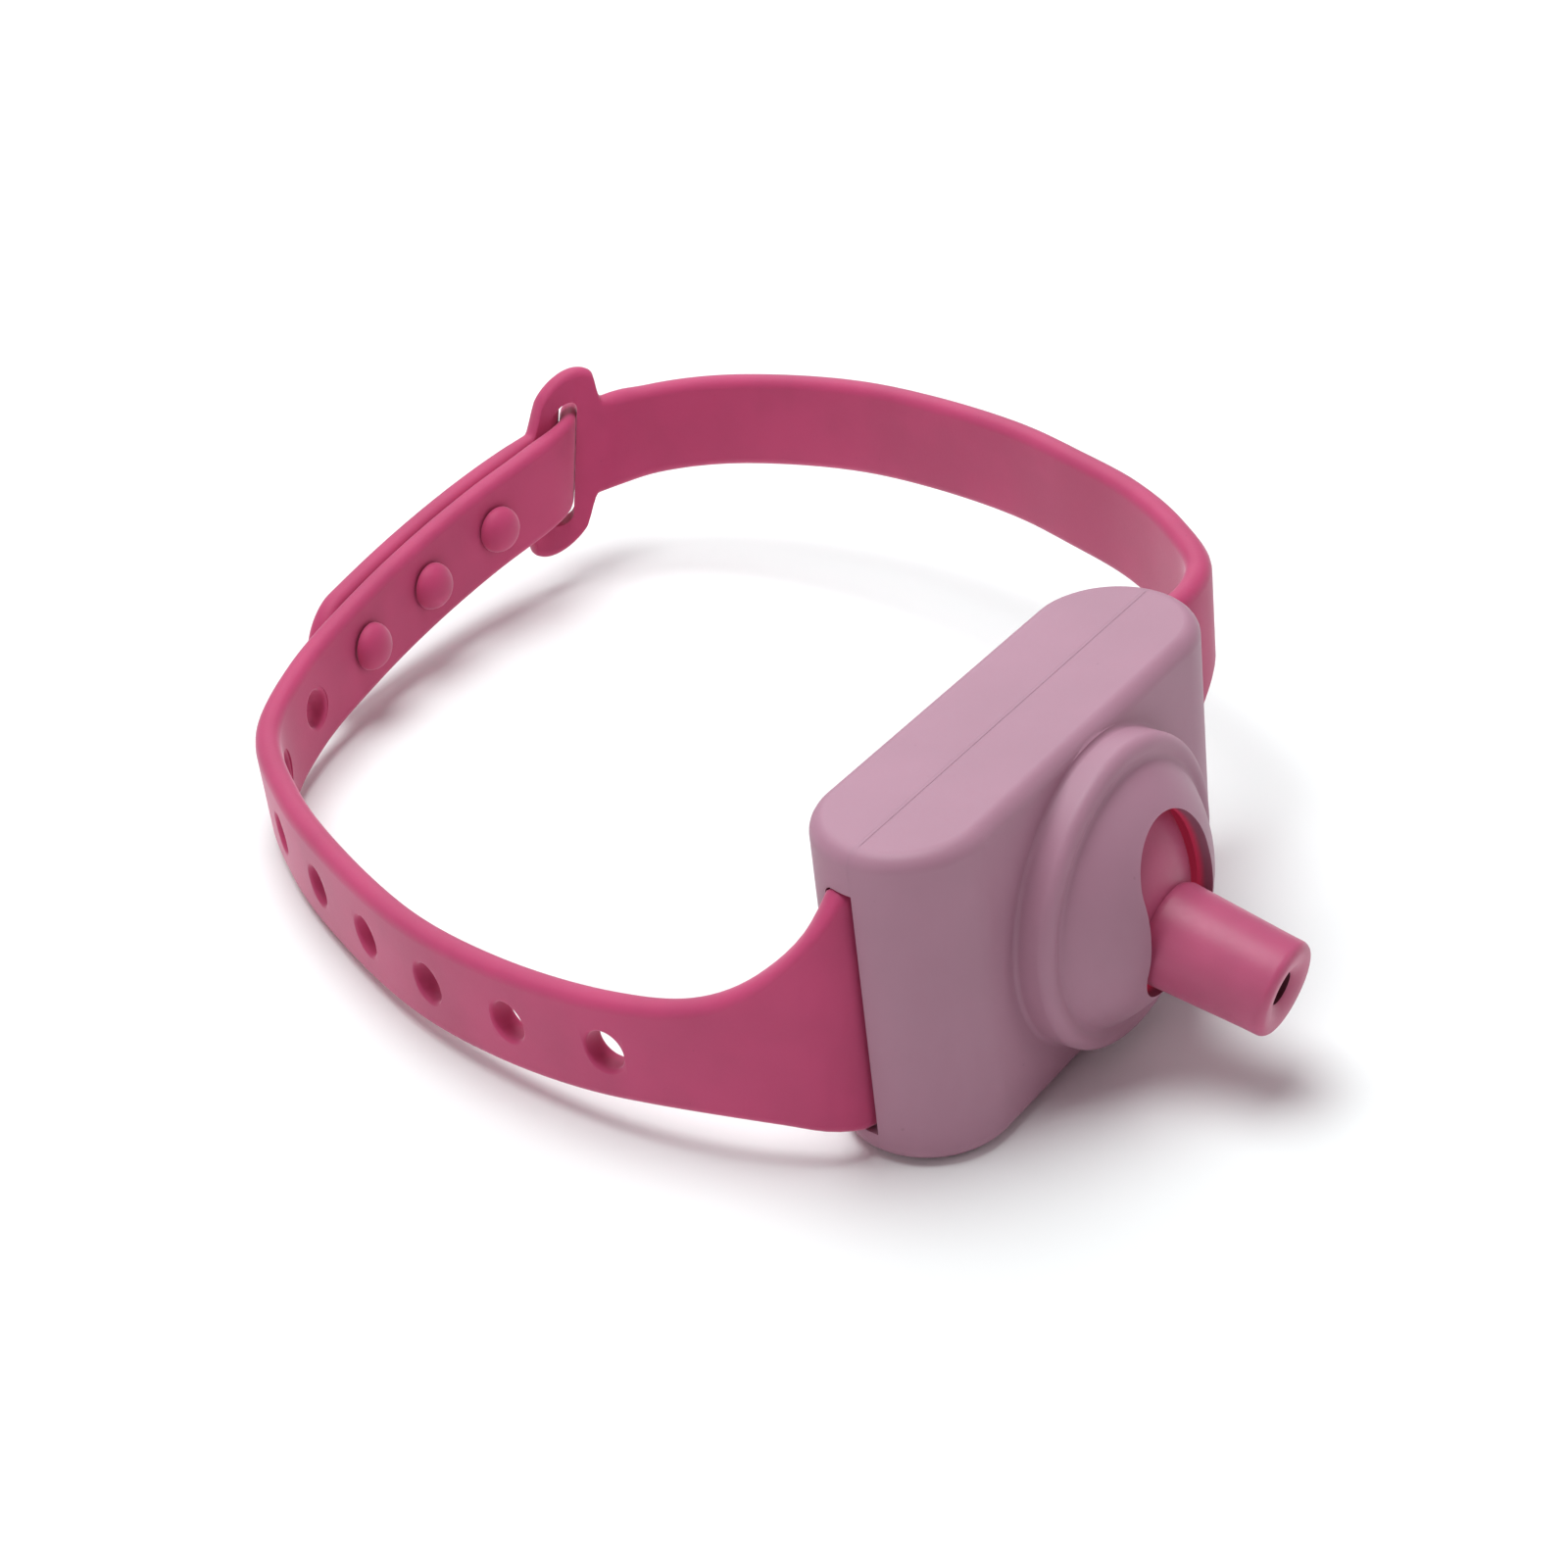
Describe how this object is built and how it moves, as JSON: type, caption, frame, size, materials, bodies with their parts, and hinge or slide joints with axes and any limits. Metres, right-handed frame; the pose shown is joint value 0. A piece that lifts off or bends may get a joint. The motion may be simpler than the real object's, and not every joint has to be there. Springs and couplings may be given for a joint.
{
  "type": "pet laser collar",
  "caption": "Silicone snap-stud pet collar carrying a rounded plastic case with a motorised swivelling laser nozzle, push button and covered charging port.",
  "frame": {"origin": "centre of the flat rear face of the case, the face that rests on the neck", "axes": "+X along the case, from the end with the holed strap to the end with the studded strap; +Y into the loop, out of the rear face; -Y is where the nozzle points; +Z across the strap, up when the button side is down"},
  "size_m": [0.0921, 0.1201, 0.03],
  "materials": {
    "shell": "satin",
    "silicone": "matte",
    "nozzle": "satin",
    "frame": "satin",
    "steel": "brushed",
    "brass": "polished",
    "lens": "polished",
    "board": "satin",
    "chip": "matte",
    "cell": "satin",
    "foam": "matte",
    "wire_red": "satin",
    "wire_black": "satin",
    "light": "frosted"
  },
  "bodies": {
    "case": {"front_shell": "shell", "rear_shell": "shell", "strap_with_holes": "silicone", "strap_with_studs": "silicone", "motor_clamp": "frame", "motor_bracket": "frame", "pivot_bracket": "frame", "case_screw_1": "steel", "case_screw_2": "steel", "case_screw_3": "steel", "case_screw_4": "steel", "motor_gearbox": "steel", "motor_can": "steel", "motor_clamp_screw_1": "steel", "motor_clamp_screw_2": "steel", "charging_port": "steel", "board_capacitor": "brass", "main_board": "board", "controller_chip": "chip", "charge_chip": "chip", "switch_body": "chip", "battery_cell": "cell", "battery_pad": "foam", "battery_lead_red": "wire_red", "motor_lead_red": "wire_red", "laser_lead": "wire_red", "battery_lead_black": "wire_black", "motor_lead_black": "wire_black", "light_pipe": "light", "status_led": "light"},
    "swivel": {"nozzle_head": "nozzle", "laser_barrel": "brass", "lens_retaining_ring": "brass", "laser_lens": "lens", "lens_spring": "steel", "laser_diode": "brass", "laser_driver_board": "board", "laser_pigtail": "wire_red", "motor_shaft": "steel"},
    "button": {"power_button": "nozzle"},
    "plunger": {"switch_plunger": "chip"},
    "cover": {"port_cover": "silicone"}
  },
  "joints": [
    {"name": "nozzle_swivel", "type": "hinge", "parent": "case", "child": "swivel", "pos_m": [0, -0.00913, 0], "axis": [-1, 0, 0], "range_deg": [0, 26]},
    {"name": "button_press", "type": "slide", "parent": "case", "child": "button", "axis": [0, 0, 1], "range_m": [0, 0.0005], "stiffness_N_per_m": 400, "springref_m": -0.0002},
    {"name": "plunger_press", "type": "slide", "parent": "case", "child": "plunger", "axis": [0, 0, 1], "range_m": [0, 0.0005]},
    {"name": "port_cover_hinge", "type": "hinge", "parent": "case", "child": "cover", "pos_m": [0.01265, -0.00465, -0.01465], "axis": [0, -1, 0], "range_deg": [0, 100]}
  ],
  "couplings": [
    {"joint": "plunger_press", "follows": "button_press", "ratio": 1}
  ]
}
